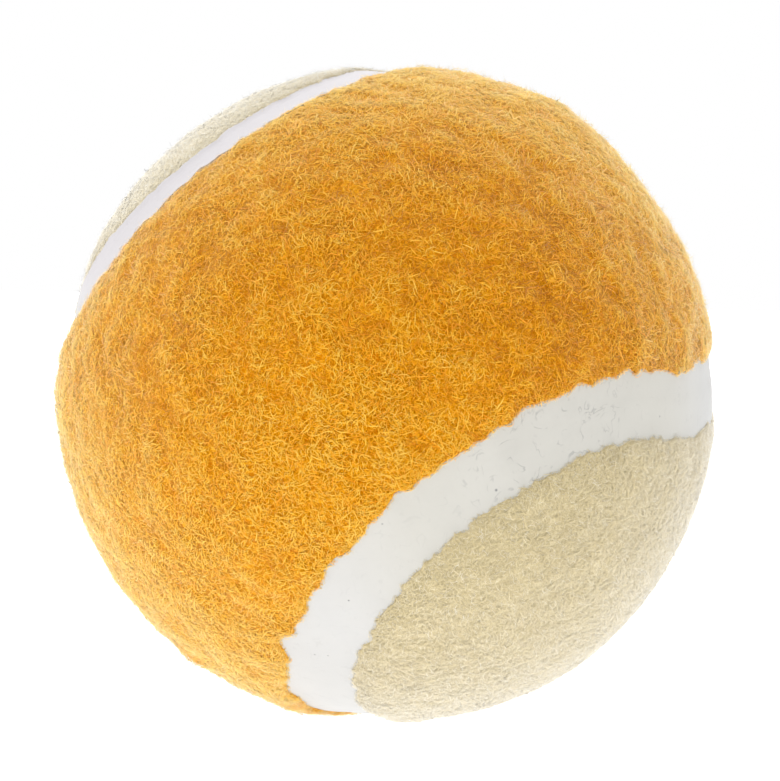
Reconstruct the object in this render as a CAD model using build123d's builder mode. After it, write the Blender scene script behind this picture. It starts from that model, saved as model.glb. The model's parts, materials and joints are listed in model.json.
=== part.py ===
from build123d import *
from math import acos, atan2, cos, degrees, radians, sin, sqrt
import os

# A two-tone tennis ball. A hollow rubber core is glued up from two half shells, two felt
# panels of one waisted outline are cemented over it, and a wide strip of white rubber
# fills the seam between them. The origin is the ball's centre. The seam crosses the X and
# Z axes, and the panels' centres lie on the Y axis, orange at -Y and cream at +Y.

# Driving dimensions, in millimetres
ball_diameter = 67.0
felt_thickness = 3.0
felt_edge_round = 0.8
panel_cement_thickness = 0.3
core_wall = 3.4
core_joint_cement_thickness = 0.4
panel_waist = 50.0  # over the surface, between the seam's two middle lines
seam_width = 6.9  # over the surface, from felt to felt
seam_recess = 0.85  # how far the seam strip lies below the felt
bond_gap = 0.05  # room between faces that are cemented together

# Radii of the layers, from the outside in
ball_radius = ball_diameter / 2
strip_radius = ball_radius - seam_recess
felt_inner_radius = ball_radius - felt_thickness
cement_radius = felt_inner_radius - bond_gap
cement_inner_radius = cement_radius - panel_cement_thickness
core_radius = cement_inner_radius - bond_gap
core_inner_radius = core_radius - core_wall

# The seam's middle line is four arcs on the ball that meet, tangent to each other, on the
# X and Z axes. Each arc is a circle round an axis of its own through the ball's centre, so
# every piece along the seam is a section turned round that axis. All the angles follow
# from the waist, which is the narrowest stretch of a panel.
half_waist_angle = degrees(panel_waist / 2 / ball_radius)
half_seam_angle = degrees(seam_width / 2 / ball_radius)
arc_angle = degrees(
    atan2(sqrt(2) - sin(radians(half_waist_angle)), cos(radians(half_waist_angle)))
)
arc_axis_angle = half_waist_angle + arc_angle  # from the panel's centre to the arc's axis
half_sweep = degrees(
    acos(-cos(radians(arc_axis_angle)) / (sqrt(2) * sin(radians(arc_angle))))
)

# The way from the ball's centre to each panel's centre and to one of its two lobes. The
# other lobe lies opposite.
orange_centre = Vector(0, -1, 0)
orange_lobe = Vector(1, 0, 1).normalized()
cream_centre = Vector(0, 1, 0)
cream_lobe = Vector(1, 0, -1).normalized()


def ring_sector(plane, inner_radius, outer_radius, start_angle, end_angle, edge_round=0):
    """A sector of a flat ring, with its outer corner at the start angle rounded."""
    arc_size = end_angle - start_angle
    with BuildSketch(plane) as sector:
        with BuildLine():
            inner = CenterArc((0, 0), inner_radius, start_angle, arc_size)
            outer = CenterArc((0, 0), outer_radius, start_angle, arc_size)
            Line(inner @ 0, outer @ 0)
            Line(inner @ 1, outer @ 1)
        make_face()
        if edge_round:
            fillet(sector.vertices().sort_by_distance(outer @ 0)[0], edge_round)
    return sector.sketch


def along_arc(panel_centre, lobe, inner_radius, outer_radius, start_angle, end_angle, edge_round=0):
    """A ring sector turned along one arc of the seam. The arc bounds the waist of the panel
    with this centre, and goes round this lobe of the other panel. Angles across the seam
    count from its middle line, and are positive towards the lobe."""
    lean = radians(arc_axis_angle)
    arc_axis = panel_centre * cos(lean) + lobe * sin(lean)
    towards_waist = panel_centre * sin(lean) - lobe * cos(lean)
    turn = Axis((0, 0, 0), arc_axis)
    start = towards_waist.rotate(turn, -half_sweep)
    middle = arc_axis * cos(radians(arc_angle)) + start * sin(radians(arc_angle))
    plane = Plane((0, 0, 0), x_dir=middle, z_dir=start.cross(arc_axis))
    section = ring_sector(plane, inner_radius, outer_radius, start_angle, end_angle, edge_round)
    with BuildPart() as stretch:
        revolve(section, axis=turn, revolution_arc=2 * half_sweep)
    return stretch.part


def waist_side(panel_centre, other_lobe, inner_radius, outer_radius, edge_round):
    """A panel's middle, from the seam round a lobe of the other panel to its own spine."""
    whole = along_arc(
        panel_centre, other_lobe, inner_radius, outer_radius, -half_seam_angle, -90, edge_round
    )
    with BuildPart() as side:
        add(whole)
        split(bisect_by=Plane((0, 0, 0), z_dir=other_lobe), keep=Keep.TOP)
    return side.part


def lobe_side(panel_centre, lobe, inner_radius, outer_radius, edge_round):
    """A panel's lobe, where it goes round into the waist of the other panel."""
    return along_arc(
        -panel_centre, lobe, inner_radius, outer_radius, half_seam_angle, arc_angle, edge_round
    )


def glued(stretches):
    """One solid from stretches that meet in whole faces."""
    return stretches[0].fuse(*stretches[1:], glue=True)


def cover_panel(panel_centre, lobe, other_lobe, inner_radius, outer_radius, edge_round=0):
    """One of the two panels of a spherical layer, up to the seam all round."""
    layer = (inner_radius, outer_radius, edge_round)
    quarters = []
    for way in (1, -1):
        quarters.append(waist_side(panel_centre, other_lobe * way, *layer))
        quarters.append(lobe_side(panel_centre, lobe * way, *layer))
    return glued(quarters)


# Rubber core, two half shells on a joint at mid height
half_joint = core_joint_cement_thickness / 2
core_half_start = half_joint + bond_gap
core_section = ring_sector(Plane.XZ, core_inner_radius, core_radius, -90, 90)

with BuildPart() as core_half_top:
    revolve(core_section, axis=Axis.Z)
    split(bisect_by=Plane.XY.offset(core_half_start), keep=Keep.TOP)

with BuildPart() as core_half_bottom:
    revolve(core_section, axis=Axis.Z)
    split(bisect_by=Plane.XY.offset(-core_half_start), keep=Keep.BOTTOM)

with BuildPart() as core_joint_cement:
    revolve(core_section, axis=Axis.Z)
    split(bisect_by=Plane.XY.offset(half_joint), keep=Keep.BOTTOM)
    split(bisect_by=Plane.XY.offset(-half_joint), keep=Keep.TOP)

# Cement films under the felt
cement_layer = (cement_inner_radius, cement_radius)

with BuildPart() as orange_panel_cement:
    add(cover_panel(orange_centre, orange_lobe, cream_lobe, *cement_layer))

with BuildPart() as cream_panel_cement:
    add(cover_panel(cream_centre, cream_lobe, orange_lobe, *cement_layer))

# Felt cover
felt_layer = (felt_inner_radius, ball_radius, felt_edge_round)

with BuildPart() as orange_felt_panel:
    add(cover_panel(orange_centre, orange_lobe, cream_lobe, *felt_layer))

with BuildPart() as cream_felt_panel:
    add(cover_panel(cream_centre, cream_lobe, orange_lobe, *felt_layer))

# White rubber in the seam, bedded on the core
strip_half_angle = degrees((seam_width / 2 - bond_gap) / ball_radius)
strip_layer = (core_radius + bond_gap, strip_radius, -strip_half_angle, strip_half_angle)
strip_arcs = [
    along_arc(panel_centre, other_lobe * way, *strip_layer)
    for panel_centre, other_lobe in ((orange_centre, cream_lobe), (cream_centre, orange_lobe))
    for way in (1, -1)
]

with BuildPart() as seam_strip:
    add(glued(strip_arcs))

pieces = {
    "core_half_top": core_half_top,
    "core_half_bottom": core_half_bottom,
    "core_joint_cement": core_joint_cement,
    "orange_panel_cement": orange_panel_cement,
    "cream_panel_cement": cream_panel_cement,
    "orange_felt_panel": orange_felt_panel,
    "cream_felt_panel": cream_felt_panel,
    "seam_strip": seam_strip,
}
os.makedirs("parts", exist_ok=True)
for name, piece in pieces.items():
    piece.part.label = name
    export_step(piece.part, f"parts/{name}.step")
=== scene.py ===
import json
import random
from math import acos, asin, atan2, cos, pi, sin, sqrt, tan

import bmesh
import bpy
import numpy as np
from mathutils import Matrix, Vector, noise

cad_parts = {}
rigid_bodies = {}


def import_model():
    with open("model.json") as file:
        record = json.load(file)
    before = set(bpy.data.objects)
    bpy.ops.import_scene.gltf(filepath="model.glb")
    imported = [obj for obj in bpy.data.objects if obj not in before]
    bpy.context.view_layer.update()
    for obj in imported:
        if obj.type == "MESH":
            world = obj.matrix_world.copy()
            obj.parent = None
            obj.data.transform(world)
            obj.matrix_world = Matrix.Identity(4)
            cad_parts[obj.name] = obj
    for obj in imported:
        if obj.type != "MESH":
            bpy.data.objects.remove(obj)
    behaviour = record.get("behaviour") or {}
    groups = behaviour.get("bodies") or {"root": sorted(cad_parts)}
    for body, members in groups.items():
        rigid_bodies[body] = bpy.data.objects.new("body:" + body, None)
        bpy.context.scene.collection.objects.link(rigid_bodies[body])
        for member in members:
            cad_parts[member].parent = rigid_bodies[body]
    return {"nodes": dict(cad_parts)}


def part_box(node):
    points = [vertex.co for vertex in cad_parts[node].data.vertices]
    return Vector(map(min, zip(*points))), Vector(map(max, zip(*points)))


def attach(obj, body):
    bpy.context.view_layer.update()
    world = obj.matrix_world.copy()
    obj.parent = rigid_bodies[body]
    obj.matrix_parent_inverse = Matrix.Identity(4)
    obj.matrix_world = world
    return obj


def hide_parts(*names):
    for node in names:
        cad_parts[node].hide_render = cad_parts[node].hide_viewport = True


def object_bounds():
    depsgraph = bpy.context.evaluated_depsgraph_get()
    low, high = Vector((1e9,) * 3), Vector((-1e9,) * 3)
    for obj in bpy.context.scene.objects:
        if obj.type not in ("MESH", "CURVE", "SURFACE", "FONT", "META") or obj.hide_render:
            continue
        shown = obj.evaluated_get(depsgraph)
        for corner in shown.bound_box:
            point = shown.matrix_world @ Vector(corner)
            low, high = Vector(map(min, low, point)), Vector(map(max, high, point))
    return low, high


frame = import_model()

cad_box = [list(corner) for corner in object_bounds()]

# A two-tone tennis ball: two waisted panels of napped felt, orange and cream, on a hollow
# rubber core, and a wide strip of white rubber in the seam between them. Each felt panel
# is a modelled body with real fibres lying on it. Lengths are in metres.

MM = 0.001

# Radii, from the frame
BALL_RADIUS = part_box("cream_felt_panel")[1].y
STRIP_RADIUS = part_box("seam_strip")[1].x
BOND_GAP = 0.05 * MM
FELT_INNER_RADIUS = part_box("cream_panel_cement")[1].y + BOND_GAP
STRIP_INNER_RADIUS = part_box("core_half_top")[1].z + BOND_GAP
FELT_THICKNESS = BALL_RADIUS - FELT_INNER_RADIUS
FELT_EDGE_ROUND = 0.4 * MM
PANEL_WAIST = 50.0 * MM     # over the surface, between the seam's middle lines
SEAM_WIDTH = 6.9 * MM       # over the surface, from felt to felt

# The seam's middle line is four arcs, each a circle round its own axis through the centre
HALF_WAIST_ANGLE = PANEL_WAIST / 2 / BALL_RADIUS
HALF_SEAM_ANGLE = SEAM_WIDTH / 2 / BALL_RADIUS
ARC_ANGLE = atan2(sqrt(2) - sin(HALF_WAIST_ANGLE), cos(HALF_WAIST_ANGLE))
LEAN = HALF_WAIST_ANGLE + ARC_ANGLE
HALF_SWEEP = acos(-cos(LEAN) / (sqrt(2) * sin(ARC_ANGLE)))
ARC_STEPS = 200
ARC_LAP = 1e-3      # how far past its ends an arc still counts, in radians

ORANGE_CENTRE = Vector((0, -1, 0))
ORANGE_LOBE = Vector((1, 0, 1)).normalized()
CREAM_CENTRE = Vector((0, 1, 0))
CREAM_LOBE = Vector((1, 0, -1)).normalized()


class SeamArc:
    """One arc of the seam. It bounds the waist of one panel and goes round a lobe of the other."""

    def __init__(self, waist_panel, centre, lobe):
        self.waist_panel = waist_panel
        self.lobe = lobe
        self.axis = centre * cos(LEAN) + lobe * sin(LEAN)
        self.towards_waist = centre * sin(LEAN) - lobe * cos(LEAN)
        self.start = Matrix.Rotation(-HALF_SWEEP, 3, self.axis) @ self.towards_waist

    def section_point(self, radius, angle):
        """A point of the section where the arc starts, at an angle from the arc's axis."""
        return (self.axis * cos(angle) + self.start * sin(angle)) * radius


SEAM_ARCS = [
    SeamArc(panel, centre, lobe * way)
    for panel, centre, lobe in (
        ("orange", ORANGE_CENTRE, CREAM_LOBE),
        ("cream", CREAM_CENTRE, ORANGE_LOBE),
    )
    for way in (1, -1)
]


def place_by_seam(points):
    """For each point of an array: how far over the ball it is from the seam's middle line,
    positive on the orange side, the nearest point of that line as a unit vector, and the
    unit vector over the ball from that line into orange."""
    radius = np.linalg.norm(points, axis=1, keepdims=True)
    unit = points / radius
    best = np.full(len(points), np.inf)
    on_line = np.zeros_like(unit)
    into_orange = np.zeros_like(unit)
    for arc in SEAM_ARCS:
        axis, towards = np.array(arc.axis), np.array(arc.towards_waist)
        along = unit @ axis
        off_axis = unit - along[:, None] * axis
        size = np.linalg.norm(off_axis, axis=1)
        off_axis /= np.maximum(size, 1e-9)[:, None]
        turned = np.arccos(np.clip(off_axis @ towards, -1, 1))
        outside = (np.arccos(np.clip(along, -1, 1)) - ARC_ANGLE) * BALL_RADIUS
        signed = outside if arc.waist_panel == "orange" else -outside
        nearer = (turned < HALF_SWEEP + ARC_LAP) & (np.abs(signed) < np.abs(best))
        best[nearer] = signed[nearer]
        line = axis * cos(ARC_ANGLE) + off_axis * sin(ARC_ANGLE)
        outwards = off_axis * cos(ARC_ANGLE) - axis * sin(ARC_ANGLE)
        on_line[nearer] = line[nearer]
        into_orange[nearer] = (outwards if arc.waist_panel == "orange" else -outwards)[nearer]
    return best, on_line, into_orange


def moved_over_ball(points, on_line, into_orange, distance):
    """Points at these distances from the seam's middle line, each kept at its own radius."""
    radius = np.linalg.norm(points, axis=1, keepdims=True)
    angle = (distance / BALL_RADIUS)[:, None]
    return (on_line * np.cos(angle) + into_orange * np.sin(angle)) * radius


def uneven(points, feature, seed):
    """Smooth noise from about -1 to 1 at each point, with features of that size. Each seed
    reads another part of the noise."""
    shift = Vector((17.3 * seed, 5.1 - 9.7 * seed, 3.3 + 4.9 * seed))
    return np.array([noise.noise(Vector(p) / feature + shift) for p in points])


def relief(points, seed, layers):
    """Layers of noise added up. Each is its size of feature, its height and its own seed,
    counted from the given one."""
    return sum(uneven(points, feature, seed + own) * height for feature, height, own in layers)


# Camera: the photograph's view, a long lens about 15 ball radii away, with a slight roll
IMAGE_LONG_SIDE, IMAGE_CENTRE = 781, (390.0, 390.5)
BALL_PIXEL_RADIUS, BALL_PIXEL = 327.5, (387.3, 393.0)
VIEW_DISTANCE = 15 * BALL_RADIUS
SENSOR = 36.0
TO_CAMERA = Vector((0.562, -0.8265, 0.03)).normalized()
CAMERA_RIGHT = Vector((0.8265, 0.563, 0.02))
CAMERA_RIGHT = (CAMERA_RIGHT - TO_CAMERA * CAMERA_RIGHT.dot(TO_CAMERA)).normalized()
CAMERA_UP = TO_CAMERA.cross(CAMERA_RIGHT)
PIXEL = BALL_RADIUS / BALL_PIXEL_RADIUS


def on_ball(x, y, side=1):
    """The way from the centre to the point of the ball that the photograph shows at a pixel,
    or to the one behind it on the far side, -1."""
    right, up = (x - BALL_PIXEL[0]) / BALL_PIXEL_RADIUS, (BALL_PIXEL[1] - y) / BALL_PIXEL_RADIUS
    towards = side * sqrt(max(0.0, 1 - right * right - up * up))
    return (CAMERA_RIGHT * right + CAMERA_UP * up + TO_CAMERA * towards).normalized()


def add_camera():
    lens = bpy.data.cameras.new("camera")
    lens.sensor_width = SENSOR
    half_view = tan(asin(BALL_RADIUS / VIEW_DISTANCE))
    lens.lens = SENSOR * BALL_PIXEL_RADIUS / IMAGE_LONG_SIDE / half_view
    lens.clip_start, lens.clip_end = 0.01, 10.0
    camera = bpy.data.objects.new("camera", lens)
    place = (
        TO_CAMERA * VIEW_DISTANCE
        + CAMERA_RIGHT * (IMAGE_CENTRE[0] - BALL_PIXEL[0]) * PIXEL
        + CAMERA_UP * (BALL_PIXEL[1] - IMAGE_CENTRE[1]) * PIXEL
    )
    turn = Matrix((CAMERA_RIGHT, CAMERA_UP, TO_CAMERA)).transposed().to_4x4()
    camera.matrix_world = Matrix.Translation(place) @ turn
    bpy.context.scene.collection.objects.link(camera)
    bpy.context.scene.camera = camera


# Node trees, for materials, for the light and for strewing fibres


class Value:
    """A node's output, with sums on it written as in Python."""

    def __init__(self, graph, socket):
        self.graph, self.socket = graph, socket

    def out(self, name):
        """Another output of the same node."""
        return Value(self.graph, named_socket(self.socket.node.outputs, name))

    def __add__(self, other):
        return self.graph.math("ADD", self, other)

    def __radd__(self, other):
        return self.graph.math("ADD", other, self)

    def __sub__(self, other):
        return self.graph.math("SUBTRACT", self, other)

    def __rsub__(self, other):
        return self.graph.math("SUBTRACT", other, self)

    def __mul__(self, other):
        return self.graph.math("MULTIPLY", self, other)

    def __rmul__(self, other):
        return self.graph.math("MULTIPLY", other, self)

    def __truediv__(self, other):
        return self.graph.math("DIVIDE", self, other)

    def __rtruediv__(self, other):
        return self.graph.math("DIVIDE", other, self)

    def __pow__(self, other):
        return self.graph.math("POWER", self, other)

    def __gt__(self, other):
        return self.graph.math("GREATER_THAN", self, other)


def named_socket(sockets, name):
    if isinstance(name, int):
        return sockets[name]
    return next(s for s in sockets if s.name == name and s.enabled)


class Graph:
    """A node tree, with one way to add a node to it."""

    def __init__(self, tree):
        self.tree = tree
        tree.nodes.clear()

    def node(self, kind, settings=None, sockets=None, output=0):
        made = self.tree.nodes.new(kind)
        for name, setting in (settings or {}).items():
            if name == "stops":
                ramp = made.color_ramp
                while len(ramp.elements) < len(setting):
                    ramp.elements.new(1.0)
                for element, (at, colour) in zip(ramp.elements, setting):
                    element.position, element.color = at, (*colour, 1)
            else:
                setattr(made, name, setting)
        for name, value in (sockets or {}).items():
            socket = named_socket(made.inputs, name)
            if isinstance(value, Value):
                self.tree.links.new(value.socket, socket)
            else:
                socket.default_value = value
        if made.outputs:
            return Value(self, named_socket(made.outputs, output))

    def math(self, operation, first, second=0.0, clamp=False):
        settings = {"operation": operation, "use_clamp": clamp}
        return self.node("ShaderNodeMath", settings, {0: first, 1: second})

    def clamped(self, value):
        return self.math("ADD", value, 0.0, clamp=True)

    def smooth(self, value, low, high):
        """0 below low, 1 above high, and smooth between."""
        settings = {"interpolation_type": "SMOOTHSTEP"}
        sockets = {"Value": value, "From Min": low, "From Max": high}
        return self.node("ShaderNodeMapRange", settings, sockets, "Result")

    def ramp(self, value, stops):
        return self.node("ShaderNodeValToRGB", {"stops": stops}, {"Fac": value}, "Color")

    def mixed(self, factor, first, second):
        settings = {"data_type": "RGBA"}
        sockets = {"Factor": factor, "A": first, "B": second}
        return self.node("ShaderNodeMix", settings, sockets, "Result")

    def measure(self, operation, first, second=(0, 0, 0)):
        """A number from vectors: LENGTH, DISTANCE or DOT_PRODUCT."""
        sockets = {0: first, 1: second}
        return self.node("ShaderNodeVectorMath", {"operation": operation}, sockets, "Value")

    def place(self):
        """The place on the piece, in metres."""
        return self.node("ShaderNodeTexCoord", None, None, "Object")

    def grain(self, place, feature, detail=2.0, rough=0.5, twist=0.0):
        """Noise from 0 to 1 with features of that size."""
        sockets = {
            "Vector": place,
            "Scale": 1 / feature,
            "Detail": detail,
            "Roughness": rough,
            "Distortion": twist,
        }
        return self.node("ShaderNodeTexNoise", None, sockets, "Fac")

    def off_line(self, place, feature, rough=0.5, twist=0.0):
        """How far such noise is from its middle value, which it has along winding lines."""
        return self.math("ABSOLUTE", self.grain(place, feature, rough=rough, twist=twist) - 0.5)


def new_finish(name):
    """A new material and its graph."""
    material = bpy.data.materials.new(name)
    material.use_nodes = True
    return material, Graph(material.node_tree)


def shade(graph, sockets):
    surface = graph.node("ShaderNodeBsdfPrincipled", None, sockets, "BSDF")
    graph.node("ShaderNodeOutputMaterial", None, {"Surface": surface})


def bump(graph, height, distance):
    sockets = {"Height": height, "Distance": distance, "Strength": 1.0}
    return graph.node("ShaderNodeBump", None, sockets, "Normal")


# Finishes of the felt

# Painted sheen: felt and fibres are painted paler in their base colour where they are seen edge on
PAINTED_SHEEN_POWER = 2
FOOT_BOTTOM = STRIP_RADIUS + 0.1 * MM   # the foot of a cut edge is painted paler, as light that lifts its shade, up to here
FOOT_TOP = STRIP_RADIUS + 0.6 * MM      # and loses that painted light by here
FOOT_PAINTED_LIGHT_SHARE, STRAND_SHARE = 0.7, 0.8
FELT_ROUGHNESS, FIBRE_ROUGHNESS, SHEEN_ROUGHNESS = 0.95, 0.85, 0.55
TIP_PAINTED_SHADE = 0.15                        # how far a fibre's ends are painted darker, towards its second tone: painted shade where they tuck in
FIBRE_UV = "OFBake"


def with_painted_sheen(graph, tone, painted_sheen):
    """A tone painted paler where the felt is seen edge on: a painted sheen that stands in for the
    sheen of its loose fuzz. The last argument gives that painted sheen's colour and strength."""
    colour, strength = painted_sheen
    facing = graph.node("ShaderNodeLayerWeight", None, {"Blend": 0.5}, "Facing")
    return graph.mixed(facing ** PAINTED_SHEEN_POWER * strength, tone, (*colour, 1))


def felt_finish(name, dark, light, strand_tone, painted_foot_light, painted_sheen):
    """Pressed felt under the nap: mottled, with fine strands all over, painted paler at the foot of
    its cut edge as light that lifts the shade there, and with a painted sheen where seen edge on."""
    material, graph = new_finish(name)
    place = graph.place()
    threads = graph.grain(place, 0.45 * MM, detail=3.0, rough=0.6, twist=2.0)
    mottle = graph.grain(place, 6 * MM, detail=3.0) * 0.4 + threads * 0.6
    ground = graph.ramp(mottle, [(0.35, dark), (0.6, light)])
    wide = graph.off_line(place, 0.9 * MM, rough=0.6, twist=1.0)
    narrow = graph.off_line(place, 0.55 * MM, rough=0.6, twist=1.5)
    strands = 1 - graph.smooth(graph.math("MINIMUM", wide, narrow), 0.01, 0.05)
    felted = graph.mixed(strands * STRAND_SHARE, ground, (*strand_tone, 1))
    height = graph.measure("LENGTH", place) + graph.grain(place, 0.9 * MM) * 0.5 * MM
    low = 1 - graph.smooth(height, FOOT_BOTTOM, FOOT_TOP)
    # painted light: the foot of the cut edge is painted paler, lifting its shade
    tone = graph.mixed(low * FOOT_PAINTED_LIGHT_SHARE, felted, (*painted_foot_light, 1))
    shade(graph, {
        "Base Color": with_painted_sheen(graph, tone, painted_sheen),
        "Roughness": FELT_ROUGHNESS,
        "Specular IOR Level": 0.0,
        "Normal": bump(graph, threads + strands * 0.4, 0.1 * MM),
    })
    return material


def fibre_finish(name, stops, painted_sheen, sheen, sheen_tint):
    """Dyed fibres, their ends painted darker as shade where they tuck into the felt, and painted paler
    edge on as a painted sheen. The map's u is a fibre's tone, and its v runs along the fibre.
    """
    material, graph = new_finish(name)
    along = graph.node("ShaderNodeUVMap", {"uv_map": FIBRE_UV})
    parts = graph.node("ShaderNodeSeparateXYZ", None, {0: along}, "X")
    from_middle = graph.math("ABSOLUTE", parts.out("Y") * 2 - 1)
    tip_shade = graph.clamped(from_middle ** 3 * TIP_PAINTED_SHADE)
    tone = graph.mixed(tip_shade, graph.ramp(parts, stops), (*stops[1][1], 1))
    shade(graph, {
        "Base Color": with_painted_sheen(graph, tone, painted_sheen),
        "Roughness": FIBRE_ROUGHNESS,
        "Specular IOR Level": 0.0,
        "Sheen Weight": sheen,
        "Sheen Roughness": SHEEN_ROUGHNESS,
        "Sheen Tint": (*sheen_tint, 1),
    })
    return material


# Finishes of the rubber

STRIP_CLEAN = [(0.3, (0.508, 0.506, 0.497)), (0.7, (0.542, 0.539, 0.530))]
# Painted warm light: bounce from the orange felt, round the scuffed place
STRIP_PAINTED_WARM_LIGHT = [(0.3, (0.506, 0.493, 0.451)), (0.7, (0.540, 0.527, 0.485))]
# Painted cool, lilac light at one place of the rubber
STRIP_PAINTED_COOL_LIGHT = (0.522, 0.499, 0.513)
STRIP_MARK = (0.22, 0.22, 0.22)
SCUFFS_AT = on_ball(545, 445) * STRIP_RADIUS
PAINTED_COOL_LIGHT_AT = on_ball(215, 125) * STRIP_RADIUS
SCUFF_SHARE, PINHOLE_SHARE, SMUDGE_SHARE, DOT_SHARE = 0.42, 0.55, 0.06, 0.9

# Dark dots on the white rubber: the pixel there, half width
STRIP_DOTS = [
    ((492, 486), 0.14 * MM),
    ((350, 594), 0.1 * MM),
    ((316, 650), 0.09 * MM),
    ((329, 651), 0.08 * MM),
]


def strip_marks(graph, place, from_scuffs):
    """Faint hair scuffs and a smudge round the scuffed place, pinholes, and dark dots."""
    line = 1 - graph.smooth(graph.off_line(place, 2.4 * MM, twist=1.5), 0.004, 0.035)
    broken = graph.smooth(graph.grain(place, 1.3 * MM), 0.46, 0.64)
    scuffed = 0.2 + 0.8 * (1 - graph.smooth(from_scuffs, 5 * MM, 13 * MM))
    cells = graph.node("ShaderNodeTexVoronoi", None, {
        "Vector": place, "Scale": 1 / (2.2 * MM),
    }, "Distance")
    chosen = graph.node("ShaderNodeSeparateColor", None, {0: cells.out("Color")}, "Red")
    pinhole = (1 - graph.smooth(cells, 0.03, 0.07)) * (chosen > 0.72)
    smudge = graph.smooth(graph.grain(place, 3.5 * MM, detail=3.0, rough=0.6), 0.45, 0.75) * scuffed
    marks = line * broken * scuffed * SCUFF_SHARE + pinhole * PINHOLE_SHARE + smudge * SMUDGE_SHARE
    way = graph.node("ShaderNodeVectorMath", {"operation": "NORMALIZE"}, {0: place}, "Vector")
    for pixel, half_width in STRIP_DOTS:
        from_dot = graph.measure("DISTANCE", way, on_ball(*pixel)) * STRIP_RADIUS
        dot = 1 - graph.smooth(from_dot, 0.4 * half_width, 1.4 * half_width)
        marks = marks + DOT_SHARE * dot
    return graph.clamped(marks)


def seam_rubber_finish():
    """Matt white rubber, a little mottled, painted warmer round its scuffs as warm bounce light from the
    orange felt, and painted a cool, lilac tone at one place as cooler light.
    """
    material, graph = new_finish("seam_white_rubber")
    place = graph.place()
    fine = graph.grain(place, 0.5 * MM)
    mottle = graph.grain(place, 8 * MM, detail=3.0) * 0.8 + fine * 0.2
    from_scuffs = graph.measure("DISTANCE", place, SCUFFS_AT)
    from_painted_cool_light = graph.measure("DISTANCE", place, PAINTED_COOL_LIGHT_AT)
    # painted warm bounce light round the scuffs, then painted cool light at one place
    white = graph.mixed(
        graph.smooth(from_scuffs, 14 * MM, 29 * MM),
        graph.ramp(mottle, STRIP_PAINTED_WARM_LIGHT), graph.ramp(mottle, STRIP_CLEAN),
    )
    tone = graph.mixed(graph.smooth(from_painted_cool_light, 18 * MM, 28 * MM), (*STRIP_PAINTED_COOL_LIGHT, 1), white)
    marks = strip_marks(graph, place, from_scuffs)
    shade(graph, {
        "Base Color": graph.mixed(marks, tone, (*STRIP_MARK, 1)),
        "Roughness": 0.5 + 0.15 * fine,
        "Specular IOR Level": 0.3,
        "Normal": bump(graph, fine * 0.3 - marks, 0.03 * MM),
    })
    return material


def plain_rubber_finish(name, dark, light, feature, roughness):
    material, graph = new_finish(name)
    place = graph.place()
    cloud = graph.grain(place, feature, detail=3.0)
    shade(graph, {
        "Base Color": graph.ramp(cloud, [(0.35, dark), (0.65, light)]),
        "Roughness": roughness,
        "Normal": bump(graph, graph.grain(place, feature / 5), 0.05 * MM),
    })
    return material


# Meshes and pieces

MERGE_DISTANCE, CUT_DISTANCE = 0.004 * MM, 0.002 * MM


def mesh_from(bm, name):
    """A mesh from a bmesh, which is freed."""
    mesh = bpy.data.meshes.new(name)
    bm.to_mesh(mesh)
    bm.free()
    return mesh


def mesh_points(mesh):
    """A mesh's points, as an array."""
    points = np.zeros(len(mesh.vertices) * 3)
    mesh.vertices.foreach_get("co", points)
    return points.reshape(-1, 3)


def set_mesh_points(mesh, points):
    mesh.vertices.foreach_set("co", points.ravel())
    mesh.update()


def put_in_order(bm):
    """Numbers a bmesh's elements by their places. A spin leaves them in an order that differs
    from run to run, and fibres are strewn by the numbers of the faces."""
    for elements, place in (
        (bm.verts, lambda vert: tuple(vert.co)),
        (bm.edges, lambda edge: tuple(edge.verts[0].co + edge.verts[1].co)),
        (bm.faces, lambda face: tuple(face.calc_center_median())),
    ):
        for number, element in enumerate(sorted(elements, key=place)):
            element.index = number
        elements.sort()


def turned_along(arc, section):
    """A bmesh of a section, a list of (radius, angle from the axis), spun along an arc."""
    bm = bmesh.new()
    verts = [bm.verts.new(arc.section_point(radius, angle)) for radius, angle in section]
    edges = [bm.edges.new(pair) for pair in zip(verts, verts[1:])]
    bmesh.ops.spin(
        bm, geom=verts + edges, cent=(0, 0, 0), axis=arc.axis, dvec=(0, 0, 0),
        angle=2 * HALF_SWEEP, steps=ARC_STEPS, use_merge=False, use_duplicate=False,
    )
    put_in_order(bm)
    return bm


def joined(stretches):
    """One closed bmesh from bmeshes that meet edge to edge."""
    whole = bmesh.new()
    for bm in stretches:
        part = mesh_from(bm, "stretch")
        whole.from_mesh(part)
        bpy.data.meshes.remove(part)
    bmesh.ops.remove_doubles(whole, verts=whole.verts, dist=MERGE_DISTANCE)
    bmesh.ops.recalc_face_normals(whole, faces=whole.faces)
    put_in_order(whole)
    return whole


def new_piece(name, mesh, material):
    piece = bpy.data.objects.new(name, mesh)
    bpy.context.scene.collection.objects.link(piece)
    mesh.materials.clear()
    mesh.materials.append(material)
    mesh.polygons.foreach_set("use_smooth", [True] * len(mesh.polygons))
    return piece


# Places along the seam and on the felt, as the photograph shows them

# Tongues and bites in the felt's edge: panel, the pixel beside it, half width, how far out
EDGE_MARKS = [
    ("orange", (672, 384), 0.6 * MM, 0.6 * MM),
    ("orange", (290, 637), 1.2 * MM, -0.7 * MM),
    ("orange", (178, 182), 10.0 * MM, 1.2 * MM),
    ("cream", (195, 155), 16.0 * MM, 2.0 * MM),
    ("cream", (305, 82), 8.0 * MM, 1.6 * MM),
]

# Where the surface stands out or lies low: the pixel there, half width, height
TUFTS = [
    ((563, 121), 6.5 * MM, 0.85 * MM),
    ((196, 655), 1.8 * MM, 0.7 * MM),
    ((64, 380), 6.0 * MM, 0.3 * MM),
    ((296, 706), 3.0 * MM, 0.3 * MM),
    ((395, 720), 3.0 * MM, 0.3 * MM),
    ((575, 660), 12.0 * MM, 0.4 * MM),
    ((180, 165), 13.0 * MM, -0.4 * MM),
    ((76, 285), 4.0 * MM, -0.35 * MM),
]
STRIP_SWELLS = [((713, 396), 3.5 * MM, 0.4 * MM)]
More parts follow.
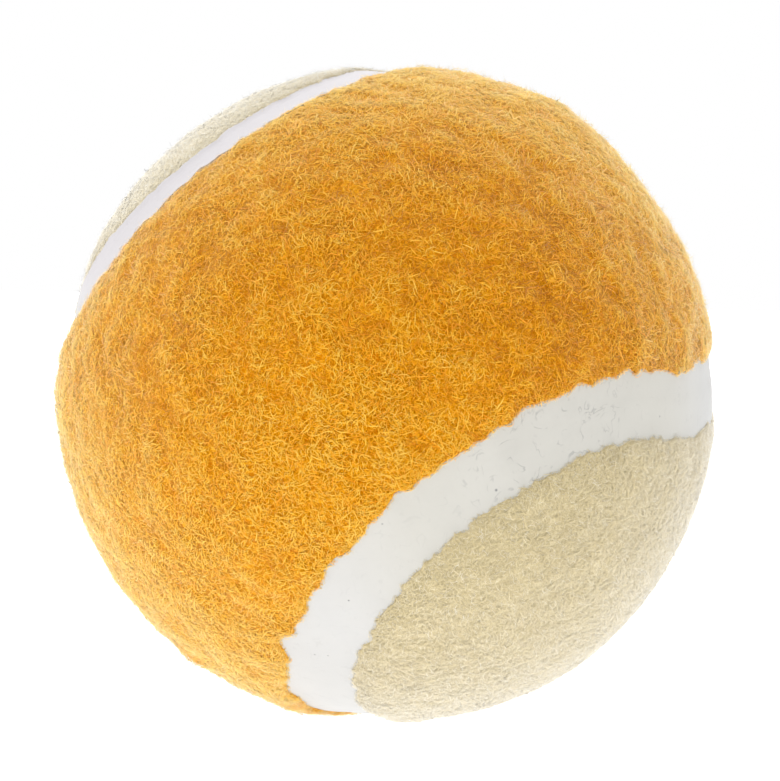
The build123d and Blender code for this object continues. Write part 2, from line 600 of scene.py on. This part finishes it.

# Patches of the felt: the pixel there, half width, how much darker or, below 0, paler. The wide ones are
# painted light and shade, the small ones dark flecks
FLECKS_AND_PAINTED_LIGHT = {
    "orange": [
        # painted light: paler at the lower front and round the rim
        ((350, 495), 13.0 * MM, -1.1),
        ((275, 675), 9.0 * MM, -1.2),
        ((160, 560), 16.0 * MM, -0.7),
        ((90, 420), 10.0 * MM, -0.3),
        ((400, 85), 14.0 * MM, -1.0),
        ((300, 125), 10.0 * MM, -0.7),
        ((235, 605), 9.0 * MM, -0.8),
        ((580, 150), 10.0 * MM, -0.7),
        # painted shade: darker at the middle right and upper middle
        ((555, 325), 9.0 * MM, 0.9),
        ((430, 200), 11.0 * MM, 0.5),
        # dark flecks
        ((340, 397), 0.9 * MM, 1.3),
        ((593, 212), 0.8 * MM, 1.3),
        ((437, 172), 0.8 * MM, 1.2),
        ((431, 288), 0.7 * MM, 1.0),
    ],
    "cream": [
        # a dark fleck
        ((395, 657), 0.7 * MM, 3.0),
        # painted light: paler at the bottom and the upper-left rim
        ((440, 700), 14.0 * MM, -2.5),
        ((190, 140), 14.0 * MM, -1.4),
    ],
}

# Where the seam leaves its even course: a place on it, half length, how far towards orange
SEAM_WANDERS = [
    (on_ball(707, 327, -1), 10.0 * MM, -3.0 * MM),
]
WANDER_REACH = 18.0 * MM


def wander(points):
    """Moves points over the ball with the seam where it leaves its even course."""
    from_line, on_line, into_orange = place_by_seam(points)
    shift = np.zeros(len(points))
    for middle, half_length, size in SEAM_WANDERS:
        away = np.linalg.norm(on_line - np.array(middle), axis=1) * BALL_RADIUS
        shift += size * np.exp(-((away / half_length) ** 2))
    fade = np.clip((WANDER_REACH - np.abs(from_line)) / (WANDER_REACH - SEAM_WIDTH / 2), 0, 1)
    moves = fade > 0
    shifted = (from_line + shift * fade * fade * (3 - 2 * fade))[moves]
    points[moves] = moved_over_ball(points[moves], on_line[moves], into_orange[moves], shifted)


def on_seam(x, y):
    """The point of the seam's middle line nearest to what the photograph shows at a pixel."""
    return place_by_seam(np.array([on_ball(x, y)]))[1][0]


def raised(points, places):
    """How far each point of an array stands out, by a list of places, half widths and heights."""
    unit = points / np.linalg.norm(points, axis=1, keepdims=True)
    height = np.zeros(len(points))
    for pixel, half_width, size in places:
        away = np.linalg.norm(unit - np.array(on_ball(*pixel)), axis=1) * BALL_RADIUS
        height += size * np.exp(-((away / half_width) ** 2))
    return height


# Felt panels

NAP_DEPTH = 0.15 * MM       # how far the pressed felt lies below the ball's round
EDGE_REACH = 3.5 * MM       # how far in from the edge its waviness fades away
EDGE_TAPER = 0.12 * MM      # how far the felt thins down to its edge
EDGE_TAPER_REACH = 1.2 * MM
CLUMPING = {"orange": 1.0, "cream": 0.3}    # how far each panel's nap has drawn into clumps
EDGE_SEED = {"orange": 1, "cream": 2}
FACE_SEED = {"orange": 11, "cream": 12}
INSIDE_ROWS, WALL_ROWS, ROUND_ROWS, FACE_ROWS = 3, 4, 6, 34
FACE_CROWDING = 1.25        # how far the face's rows draw together towards its edge

# Noise on the felt: size of feature, height, and a seed of its own
EDGE_WAVES = [(7.0 * MM, 0.25 * MM, 0), (0.8 * MM, 0.28 * MM, 4)]
FACE_CLUMPS = [(2.4 * MM, 0.28 * MM, 2), (1.2 * MM, 0.18 * MM, 12)]
FACE_SWELLS = [(9.0 * MM, 0.14 * MM, 0), (4.6 * MM, 0.2 * MM, 14)]
BLOTCHES = [(8.0 * MM, 0.3, 4), (2.2 * MM, 0.5, 6)]
LAY_TURNS = [(3.5 * MM, 5.0, 10)]

# Scallops in the felt's edge: size, height, their mean, and a seed of their own
SCALLOP_SIZE, SCALLOP_HEIGHT, SCALLOP_MEAN, SCALLOP_SEED = 2.4 * MM, 1.0 * MM, 0.22, 2

CLUMP_SHARE = 0.9           # of the clumps' height that shows in the body
RIM_CALM = 0.7              # how far its relief is flattened by the edge
# Painted shade: the nap is painted paler on its clumps and darker in the hollows between them, by the
# clumps' height
CLUMP_PAINTED_SHADE = 1.1 / (0.25 * MM)


def edge_wave(on_line, panel):
    """How far the felt's edge stands out over the seam from its even line, at points on
    the seam's middle line."""
    seed = EDGE_SEED[panel]
    at = on_line * BALL_RADIUS
    wave = relief(at, seed, EDGE_WAVES)
    scallops = np.abs(uneven(at, SCALLOP_SIZE, seed + SCALLOP_SEED))
    wave += (SCALLOP_MEAN - scallops) * SCALLOP_HEIGHT
    for side, pixel, width, out in EDGE_MARKS:
        if side == panel:
            away = np.linalg.norm(on_line - np.array(on_seam(*pixel)), axis=1) * BALL_RADIUS
            wave += out * np.exp(-((away / width) ** 2))
    return wave


def felt_section():
    """The felt's section as (radius, distance over the ball from its edge), from the middle
    of the panel along the inside, up the edge and back along the outside."""
    reach = (ARC_ANGLE - HALF_SEAM_ANGLE) * BALL_RADIUS
    wall_top = BALL_RADIUS - FELT_EDGE_ROUND
    wall_height = wall_top - FELT_INNER_RADIUS
    inside = [(FELT_INNER_RADIUS, reach * k / INSIDE_ROWS) for k in range(INSIDE_ROWS, 0, -1)]
    wall = [(FELT_INNER_RADIUS + wall_height * k / WALL_ROWS, 0.0) for k in range(WALL_ROWS)]
    rounding = []
    for k in range(ROUND_ROWS + 1):
        turn = pi / 2 * k / ROUND_ROWS
        rounding.append((wall_top + FELT_EDGE_ROUND * sin(turn), FELT_EDGE_ROUND * (1 - cos(turn))))
    face = [
        (BALL_RADIUS, FELT_EDGE_ROUND + (reach - FELT_EDGE_ROUND) * (k / FACE_ROWS) ** FACE_CROWDING)
        for k in range(1, FACE_ROWS + 1)
    ]
    return inside + wall + rounding + face


def even_felt(panel):
    """A felt panel's body with an even face and edge, from a stretch along each arc."""
    section = felt_section()
    stretches = []
    for arc in SEAM_ARCS:
        if arc.waist_panel == panel:
            bm = turned_along(arc, [
                (r, ARC_ANGLE + HALF_SEAM_ANGLE + edge / BALL_RADIUS) for r, edge in section
            ])
            bmesh.ops.bisect_plane(
                bm, geom=bm.verts[:] + bm.edges[:] + bm.faces[:], dist=CUT_DISTANCE,
                plane_co=(0, 0, 0), plane_no=arc.lobe, clear_inner=True,
            )
        else:
            bm = turned_along(arc, [
                (r, ARC_ANGLE - HALF_SEAM_ANGLE - edge / BALL_RADIUS) for r, edge in section
            ])
        stretches.append(bm)
    return mesh_from(joined(stretches), panel + "_felt")


def felt_body(panel):
    """A felt panel's pressed body, with an uneven face and a wavy cut edge. It carries what
    its nap needs: the distance from the edge in millimetres, tone with painted light and shade in it, and
    way of lying."""
    mesh = even_felt(panel)
    points = mesh_points(mesh)
    side = 1 if panel == "orange" else -1
    from_line, on_line, into_orange = place_by_seam(points)
    edge = from_line * side - SEAM_WIDTH / 2
    near = np.clip(1 - edge / EDGE_REACH, 0, 1) ** 2
    by_edge = near > 0
    wave = edge_wave(on_line[by_edge], panel) * near[by_edge]
    points[by_edge] = moved_over_ball(
        points[by_edge], on_line[by_edge], into_orange[by_edge], from_line[by_edge] - side * wave,
    )
    wander(points)

    radius = np.linalg.norm(points, axis=1)
    outer = np.clip((radius - FELT_INNER_RADIUS) / FELT_THICKNESS, 0, 1) ** 3
    seed = FACE_SEED[panel]
    clumps = relief(points, seed, FACE_CLUMPS) * CLUMPING[panel]
    swells = relief(points, seed, FACE_SWELLS) * CLUMPING[panel] ** 0.5
    by_rim = np.exp(-((np.clip(edge, 0, None) / EDGE_TAPER_REACH) ** 2))
    lumps = (swells + CLUMP_SHARE * clumps) * (1 - RIM_CALM * by_rim)
    lumps += raised(points, TUFTS) - NAP_DEPTH - EDGE_TAPER * by_rim
    points *= (1 + outer * lumps / radius)[:, None]
    set_mesh_points(mesh, points)

    # Tone: random blotches, painted shade by the clumps' height, and patches, the wide ones painted light
    # and shade, the small ones dark flecks
    blotch = relief(points, seed, BLOTCHES) + CLUMP_PAINTED_SHADE * clumps - raised(points, FLECKS_AND_PAINTED_LIGHT[panel])
    lay = relief(points, seed, LAY_TURNS)
    for name, values in (("edge", edge / MM), ("blotch", blotch), ("lay", lay)):
        layer = mesh.attributes.new(name, "FLOAT", "POINT")
        layer.data.foreach_set("value", values)
    return mesh


# Nap: fibres of a few shapes, strewn over the felt and lying on it every way

FLATNESS = 0.55         # a lying fibre's height, as a share of its width
SWAY = 0.35             # how far a fibre sways to and fro, as a share of its curl
STRAY_LIFT = 2.5        # how much further a stray fibre's loose end stands up
CURVE_STEPS = 24
NAP_SOFTNESS = 0.7      # how far the nap's normals turn to the felt's
NAP_FLOOR = BALL_RADIUS - 1.2 * MM      # fibres lie only above this
RIM_CROWD, RIM_CROWD_REACH = 2.2, 1.8   # more fibres by the edge, over so many millimetres
RIM_LENGTH, RIM_GROWTH = 0.7, 0.2       # a fibre's size at the edge, and its growth per millimetre
BLOTCH_AND_PAINTED_LIGHT_SHARE = 0.6                      # how far a fibre's tone follows that of the felt where it lies: its blotches, painted clump shade and patches of painted light and shade
TONE_MARGIN = 0.03                      # keeps a fibre's tone inside its map
FIBRE_SCALES = (0.75, 1.2)


def fibre_shape(draw, segments, length, thick, foot, rise, loose, curl, strays=0.0):
    """One curled fibre, pointed at both ends, from a three-sided tube cut into segments.
    It lies along X on a flat face, and its loose end stands up."""
    bm = bmesh.new()
    bmesh.ops.create_cone(
        bm, cap_ends=False, segments=3, radius1=thick / 2, radius2=thick / 2, depth=1.0,
    )
    lengthwise = [e for e in bm.edges if abs(e.verts[0].co.z - e.verts[1].co.z) > 0.5]
    bmesh.ops.subdivide_edges(bm, edges=lengthwise, cuts=segments - 1)
    for end in (-0.5, 0.5):
        ring = [v for v in bm.verts if abs(v.co.z - end) < 1e-4]
        bmesh.ops.pointmerge(bm, verts=ring, merge_co=(0, 0, end))
    bmesh.ops.recalc_face_normals(bm, faces=bm.faces)
    uv = bm.loops.layers.uv.new(FIBRE_UV)
    for face in bm.faces:
        for loop in face.loops:
            co = loop.vert.co
            loop[uv].uv = (0.02 * co.x / thick, co.z + 0.5)
    turn, sway = draw.uniform(-curl, curl), draw.uniform(-SWAY, SWAY) * curl
    size, width = length * draw.uniform(0.75, 1.25), draw.uniform(0.7, 1.3)
    lift = loose * draw.uniform(0.3, 1.7) * (STRAY_LIFT if draw.random() < strays else 1)

    def heading(t):
        return turn * (t - 0.5) + sway * sin(2 * pi * t)

    for v in bm.verts:
        t = v.co.z + 0.5
        headings = [heading(t * (k + 0.5) / CURVE_STEPS) for k in range(CURVE_STEPS)]
        x = sum(cos(way) for way in headings) * size * t / CURVE_STEPS
        y = sum(sin(way) for way in headings) * size * t / CURVE_STEPS
        z = foot + rise * sin(pi * t) + lift * t * t
        across = Vector((-sin(heading(t)), cos(heading(t)), 0)) * v.co.x * width
        v.co = Vector((x - size / 2, y, z)) + across + Vector((0, 0, v.co.y * FLATNESS))
    mesh = mesh_from(bm, "fibre")
    mesh.polygons.foreach_set("use_smooth", [True] * len(mesh.polygons))
    return mesh


def fibre_shapes(seed, count, **size):
    """A few fibre shapes in a collection of their own."""
    draw = random.Random(seed)
    shapes = bpy.data.collections.new("fibres")
    for _ in range(count):
        shapes.objects.link(bpy.data.objects.new("fibre", fibre_shape(draw, **size)))
    return shapes


def soften(mesh, share):
    """Turns a nap's normals part of the way to the felt's under each fibre, as light that
    goes from fibre to fibre does."""
    count = len(mesh.vertices)
    outwards, normals = np.zeros(count * 3, np.float32), np.zeros(count * 3, np.float32)
    mesh.attributes["root"].data.foreach_get("vector", outwards)
    mesh.vertex_normals.foreach_get("vector", normals)
    outwards, normals = outwards.reshape(-1, 3), normals.reshape(-1, 3)
    mixed = normals * (1 - share) + outwards * share
    mixed /= np.maximum(np.linalg.norm(mixed, axis=1, keepdims=True), 1e-6)
    mesh.normals_split_custom_set_from_vertices(mixed.tolist())


def strewing(name, shapes, seed, fibres_per_mm2, tones, spread, size):
    """A node tree that strews fibres over the outside of a felt body. Tones are their middle
    tone and how far they go from it, spread is how far they turn from the way that the felt
    lies there, and size scales them. By the edge they are shorter and more."""
    tree = bpy.data.node_groups.new(name, "GeometryNodeTree")
    tree.interface.new_socket("Geometry", in_out="INPUT", socket_type="NodeSocketGeometry")
    tree.interface.new_socket("Geometry", in_out="OUTPUT", socket_type="NodeSocketGeometry")
    graph = Graph(tree)

    def attribute(label, kind="FLOAT"):
        settings = {"data_type": kind}
        return graph.node("GeometryNodeInputNamedAttribute", settings, {"Name": label}, "Attribute")

    def drawn(low, high, number, kind="FLOAT"):
        sockets = {"Min": low, "Max": high, "Seed": seed * 10 + number}
        return graph.node("FunctionNodeRandomValue", {"data_type": kind}, sockets, "Value")

    def stored(geometry, label, value, kind, domain="POINT"):
        settings = {"data_type": kind, "domain": domain}
        sockets = {"Geometry": geometry, "Name": label, "Value": value}
        return graph.node("GeometryNodeStoreNamedAttribute", settings, sockets)

    body = graph.node("NodeGroupInput", None, None, "Geometry")
    place = graph.node("GeometryNodeInputPosition")
    by_rim = graph.clamped(1 - attribute("edge") / RIM_CROWD_REACH)
    strewn = graph.node("GeometryNodeDistributePointsOnFaces", {"distribute_method": "RANDOM"}, {
        "Mesh": body,
        "Selection": graph.measure("LENGTH", place) > NAP_FLOOR,
        "Density": fibres_per_mm2 / MM ** 2 * (1 + RIM_CROWD * by_rim),
        "Seed": seed,
    }, "Points")
    drift = attribute("blotch") * BLOTCH_AND_PAINTED_LIGHT_SHARE + drawn(-1.0, 1.0, 1)
    tone = graph.clamped(tones[0] + tones[1] * drift)
    toned = stored(strewn, "tone", tone * (1 - 2 * TONE_MARGIN) + TONE_MARGIN, "FLOAT")
    rooted = stored(toned, "root", strewn.out("Normal"), "FLOAT_VECTOR")
    turn = graph.node("FunctionNodeAxisAngleToRotation", None, {
        "Axis": (0.0, 0.0, 1.0), "Angle": attribute("lay") + drawn(-spread, spread, 2),
    })
    turned = graph.node("FunctionNodeRotateRotation", {"rotation_space": "LOCAL"}, {
        "Rotation": strewn.out("Rotation"), "Rotate By": turn,
    })
    by_edge = graph.clamped(RIM_LENGTH + RIM_GROWTH * attribute("edge"))
    picked = graph.node("GeometryNodeCollectionInfo", None, {
        "Collection": shapes, "Separate Children": True, "Reset Children": True,
    })
    lying = graph.node("GeometryNodeInstanceOnPoints", None, {
        "Points": rooted,
        "Instance": picked,
        "Pick Instance": True,
        "Instance Index": drawn(0, len(shapes.objects) - 1, 3, "INT"),
        "Rotation": turned,
        "Scale": drawn(*FIBRE_SCALES, 4) * by_edge * size,
    })
    fibres = graph.node("GeometryNodeRealizeInstances", None, {"Geometry": lying})
    across = graph.node("ShaderNodeSeparateXYZ", None, {0: attribute(FIBRE_UV, "FLOAT_VECTOR")}, "X")
    map_place = graph.node("ShaderNodeCombineXYZ", None, {
        "X": attribute("tone") + across, "Y": across.out("Y"),
    })
    mapped = stored(fibres, FIBRE_UV, map_place, "FLOAT2", "CORNER")
    graph.node("NodeGroupOutput", None, {"Geometry": mapped})
    return tree


def nap(name, felt, material, tree):
    """A layer of fibres over a felt body, as one mesh, strewn by a node tree."""
    layer = bpy.data.objects.new(name, felt.data.copy())
    bpy.context.scene.collection.objects.link(layer)
    layer.modifiers.new("nap", "NODES").node_group = tree
    depsgraph = bpy.context.evaluated_depsgraph_get()
    mesh = bpy.data.meshes.new_from_object(layer.evaluated_get(depsgraph), depsgraph=depsgraph)
    bare = layer.data
    bpy.data.objects.remove(layer)
    bpy.data.meshes.remove(bare)
    bpy.data.node_groups.remove(tree)
    mesh.name = name
    piece = new_piece(name, mesh, material)
    soften(mesh, NAP_SOFTNESS)
    for label in ("tone", "edge", "blotch", "lay", "root"):
        if label in mesh.attributes:
            mesh.attributes.remove(mesh.attributes[label])
    return piece


# White rubber in the seam

STRIP_HALF = SEAM_WIDTH / 2
STRIP_TOP_ROWS, STRIP_SIDE_ROWS, STRIP_BOTTOM_ROWS = 20, 3, 6
STRIP_CROWN, STRIP_HOLLOW = 0.2 * MM, 0.25 * MM     # its middle's rise, and how much more its edges'
RIDGE_HEIGHT, RIDGE_HALF = 0.03 * MM, 0.3           # half width as a share of the strip's
STRIP_RIPPLES = [(5.0 * MM, 0.05 * MM, 0), (1.5 * MM, 0.02 * MM, 1)]
RIPPLE_SEED = 21
RIPPLE_FLOOR = STRIP_RADIUS - 0.3 * MM
STRIP_CORNER = 0.7                                  # edges sharper than this angle stay sharp


def strip_section():
    """The strip's closed section as (radius, distance from the middle line): a slightly hollow
    top that rises to both felt edges, with a faint ridge along its middle."""
    top = []
    for k in range(STRIP_TOP_ROWS + 1):
        across = -1 + 2 * k / STRIP_TOP_ROWS
        hollow = STRIP_CROWN + STRIP_HOLLOW * across ** 2
        ridge = RIDGE_HEIGHT * max(0.0, 1 - (across / RIDGE_HALF) ** 2)
        top.append((STRIP_RADIUS + hollow + ridge, across * STRIP_HALF))
    foot = STRIP_INNER_RADIUS
    sides = [foot + (STRIP_RADIUS - foot) * k / STRIP_SIDE_ROWS for k in range(STRIP_SIDE_ROWS)]
    right = [(r, STRIP_HALF) for r in reversed(sides)]
    bottom = [
        (foot, STRIP_HALF * (1 - 2 * k / STRIP_BOTTOM_ROWS)) for k in range(1, STRIP_BOTTOM_ROWS)
    ]
    left = [(r, -STRIP_HALF) for r in sides]
    return top + right + bottom + left


def seam_strip():
    """The strip along the whole seam, up to both wavy felt edges, with a rippled face."""
    section = strip_section()
    section.append(section[0])
    mesh = mesh_from(joined([
        turned_along(arc, [(r, ARC_ANGLE + d / BALL_RADIUS) for r, d in section]) for arc in SEAM_ARCS
    ]), "seam_rubber")
    points = mesh_points(mesh)
    from_line, on_line, into_orange = place_by_seam(points)
    wave = np.where(from_line > 0, edge_wave(on_line, "orange"), edge_wave(on_line, "cream"))
    from_line = from_line * (1 - (wave - BOND_GAP) / STRIP_HALF)
    points = moved_over_ball(points, on_line, into_orange, from_line)
    wander(points)
    radius = np.linalg.norm(points, axis=1)
    ripple = relief(points, RIPPLE_SEED, STRIP_RIPPLES) + raised(points, STRIP_SWELLS)
    points *= (1 + (radius > RIPPLE_FLOOR) * ripple / radius)[:, None]
    set_mesh_points(mesh, points)
    return mesh


# Floor and light

FLOOR_HALF = 3.0
FLOOR_DROP = 0.3 * MM       # below the ball's CAD box, for the nap
FLOOR_TONE, FLOOR_GLOW = 0.3, 1.38
WHITE = (1, 1, 1, 1)
TENT_ALL, TENT_LEFT, TENT_BEHIND, TENT_OVER = 0.815, 0.43, 0.32, 2.4    # strengths of its light


def add_floor(height):
    bm = bmesh.new()
    bmesh.ops.create_grid(bm, x_segments=1, y_segments=1, size=FLOOR_HALF)
    bmesh.ops.translate(bm, verts=bm.verts, vec=(0, 0, height))
    mesh = mesh_from(bm, "floor")
    floor = bpy.data.objects.new("floor", mesh)
    bpy.context.scene.collection.objects.link(floor)
    material, graph = new_finish("lit_floor")
    shade(graph, {
        "Base Color": (FLOOR_TONE, FLOOR_TONE, FLOOR_TONE, 1),
        "Roughness": 1.0,
        "Specular IOR Level": 0.0,
        "Emission Color": WHITE,
        "Emission Strength": FLOOR_GLOW,
    })
    mesh.materials.append(material)


def add_light():
    """A white tent round the ball, brighter at the left, behind it and above."""
    world = bpy.data.worlds.new("white_tent")
    world.use_nodes = True
    graph = Graph(world.node_tree)
    way = graph.node("ShaderNodeTexCoord", None, None, "Generated")
    to_left = (TO_CAMERA * 0.1 - CAMERA_RIGHT - CAMERA_UP * 0.2).normalized()
    over_behind = (CAMERA_UP * 0.9 - TO_CAMERA * 0.3 + CAMERA_RIGHT * 0.12).normalized()
    left = graph.measure("DOT_PRODUCT", way, to_left)
    behind = graph.clamped(graph.measure("DOT_PRODUCT", way, -TO_CAMERA))
    over = graph.clamped(graph.measure("DOT_PRODUCT", way, over_behind))
    strength = TENT_ALL + left * TENT_LEFT + behind * TENT_BEHIND + over ** 4 * TENT_OVER
    tent = graph.node("ShaderNodeBackground", None, {"Color": WHITE, "Strength": strength})
    ground = graph.node("ShaderNodeBackground", None, {"Color": WHITE, "Strength": 1.0})
    seen = graph.node("ShaderNodeLightPath", None, None, "Is Camera Ray")
    glow = graph.node("ShaderNodeMixShader", None, {0: seen, 1: tent, 2: ground})
    graph.node("ShaderNodeOutputWorld", None, {"Surface": glow})
    bpy.context.scene.world = world


add_camera()

# Dyes, as stops from the darkest fibres to the palest
ORANGE_TONES = [
    (0.0, (0.50, 0.155, 0.001)),
    (0.15, (0.68, 0.215, 0.002)),
    (0.35, (0.96, 0.345, 0.008)),
    (0.6, (1.0, 0.45, 0.02)),
    (0.85, (1.0, 0.525, 0.036)),
    (1.0, (1.0, 0.60, 0.085)),
]
# The orange down is paler than the felt: its own paler fuzz, and partly painted light for light through
# that fuzz
ORANGE_DOWN_TONES = [
    (0.0, (1.0, 0.46, 0.02)),
    (0.5, (1.0, 0.54, 0.05)),
    (1.0, (1.0, 0.64, 0.14)),
]
CREAM_TONES = [
    (0.0, (0.56, 0.375, 0.17)),
    (0.05, (0.463, 0.371, 0.195)),
    (0.35, (0.637, 0.516, 0.271)),
    (0.65, (0.72, 0.598, 0.328)),
    (1.0, (0.83, 0.743, 0.535)),
]
# The cream down is paler than the felt: its own paler fuzz, and partly painted light for light through
# that fuzz
CREAM_DOWN_TONES = [
    (0.0, (0.84, 0.78, 0.62)),
    (1.0, (0.96, 0.93, 0.85)),
]
ORANGE_SHEEN = (1.0, 1.0, 0.92)
CREAM_SHEEN = (1.0, 0.99, 0.97)
# Colour and strength of the painted sheen that each felt is painted with where it is seen edge on
ORANGE_PAINTED_SHEEN = ((1.0, 0.92, 0.43), 0.62)
CREAM_PAINTED_SHEEN = ((0.97, 0.95, 0.90), 0.68)

orange_felt = felt_finish(
    "orange_pressed_felt", dark=(0.42, 0.11, 0.001), light=(0.78, 0.25, 0.003),
    strand_tone=(1.0, 0.44, 0.012), painted_foot_light=(0.98, 0.45, 0.03), painted_sheen=ORANGE_PAINTED_SHEEN,
)
orange_fibres = (
    fibre_finish("orange_fibres", ORANGE_TONES, ORANGE_PAINTED_SHEEN, 0.22, ORANGE_SHEEN),
    fibre_finish("orange_curls", ORANGE_TONES, ORANGE_PAINTED_SHEEN, 0.5, ORANGE_SHEEN),
    fibre_finish("orange_down", ORANGE_DOWN_TONES, ORANGE_PAINTED_SHEEN, 0.6, ORANGE_SHEEN),
)
cream_felt = felt_finish(
    "cream_pressed_felt", dark=(0.58, 0.473, 0.262), light=(0.666, 0.55, 0.314),
    strand_tone=(0.743, 0.637, 0.39), painted_foot_light=(0.72, 0.63, 0.42), painted_sheen=CREAM_PAINTED_SHEEN,
)
cream_fibres = (
    fibre_finish("cream_fibres", CREAM_TONES, CREAM_PAINTED_SHEEN, 0.4, CREAM_SHEEN),
    fibre_finish("cream_curls", CREAM_TONES, CREAM_PAINTED_SHEEN, 0.7, CREAM_SHEEN),
    fibre_finish("cream_down", CREAM_DOWN_TONES, CREAM_PAINTED_SHEEN, 0.6, CREAM_SHEEN),
)

# Short bits that cover the felt, longer curls on them, and fine down that stands up
BITS = fibre_shapes(
    1, 32, segments=2, length=1.05 * MM, thick=0.089 * MM, foot=0.02 * MM, rise=0.18 * MM,
    loose=0.14 * MM, curl=1.8,
)
CURL = fibre_shapes(
    2, 32, segments=3, length=1.45 * MM, thick=0.073 * MM, foot=0.0, rise=0.27 * MM,
    loose=0.22 * MM, curl=2.6, strays=0.15,
)
DOWN = fibre_shapes(
    3, 24, segments=2, length=1.05 * MM, thick=0.038 * MM, foot=-0.02 * MM, rise=0.17 * MM,
    loose=0.75 * MM, curl=3.0,
)
FIBRE_KINDS = (("bits", BITS), ("curl", CURL), ("down", DOWN))
SPREADS = (1.3, 1.1, pi)
DOWN_TONES = (0.5, 0.45)
LAYERS_OF_A_KIND = (1, 2)

# Each panel's finishes, and for its bits, curls and down: fibres to the square millimetre in
# each layer, tones and size
FELT_PANELS = {
    "orange": (
        orange_felt, orange_fibres, (4.15, 1.8, 2.2),
        ((0.55, 0.45), (0.55, 0.45), DOWN_TONES), (1.0, 1.0, 0.85),
    ),
    "cream": (
        cream_felt, cream_fibres, (3.6, 1.5, 2.1),
        ((0.53, 0.21), (0.53, 0.21), DOWN_TONES), (0.88, 0.88, 0.7),
    ),
}
NAP_SEED = {"orange": 100, "cream": 200}

for panel, (felt_material, fibre_materials, *fibre_looks) in FELT_PANELS.items():
    slot = panel + "_felt"
    felt = new_piece(panel + "_felt_body", felt_body(panel), felt_material)
    layers = []
    for (kind, shapes), material, density, tones, size, spread in zip(
        FIBRE_KINDS, fibre_materials, *fibre_looks, SPREADS,
    ):
        for number in LAYERS_OF_A_KIND:
            name = f"{panel}_nap_{kind}_{number}"
            seed = NAP_SEED[panel] + len(layers) + 1
            tree = strewing(name, shapes, seed, density, tones, spread, size)
            layers.append(nap(name, felt, material, tree))
    for label in ("edge", "blotch", "lay"):
        felt.data.attributes.remove(felt.data.attributes[label])
    for piece in (felt, *layers):
        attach(piece, "root")
    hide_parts(panel + "_felt_panel")
    panel + "_panel_cement"

strip = new_piece("seam_rubber_strip", seam_strip(), seam_rubber_finish())
strip.data.set_sharp_from_angle(angle=STRIP_CORNER)
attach(strip, "root")
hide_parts("seam_strip")

core_rubber = plain_rubber_finish(
    "core_dark_rubber", dark=(0.07, 0.07, 0.07), light=(0.12, 0.12, 0.115), feature=3 * MM, roughness=0.7,
)
cement = plain_rubber_finish(
    "dried_cement", dark=(0.45, 0.33, 0.18), light=(0.62, 0.48, 0.28), feature=2 * MM, roughness=0.5,
)
for name, node in frame["nodes"].items():
    node.data.materials.clear()
    node.data.materials.append(core_rubber if name.startswith("core_half") else cement)

add_floor(cad_box[0][2] - FLOOR_DROP)
add_light()
bpy.context.scene.view_settings.view_transform = "Standard"

for _, shapes in FIBRE_KINDS:
    for shape in list(shapes.objects):
        bpy.data.objects.remove(shape)
    bpy.data.collections.remove(shapes)
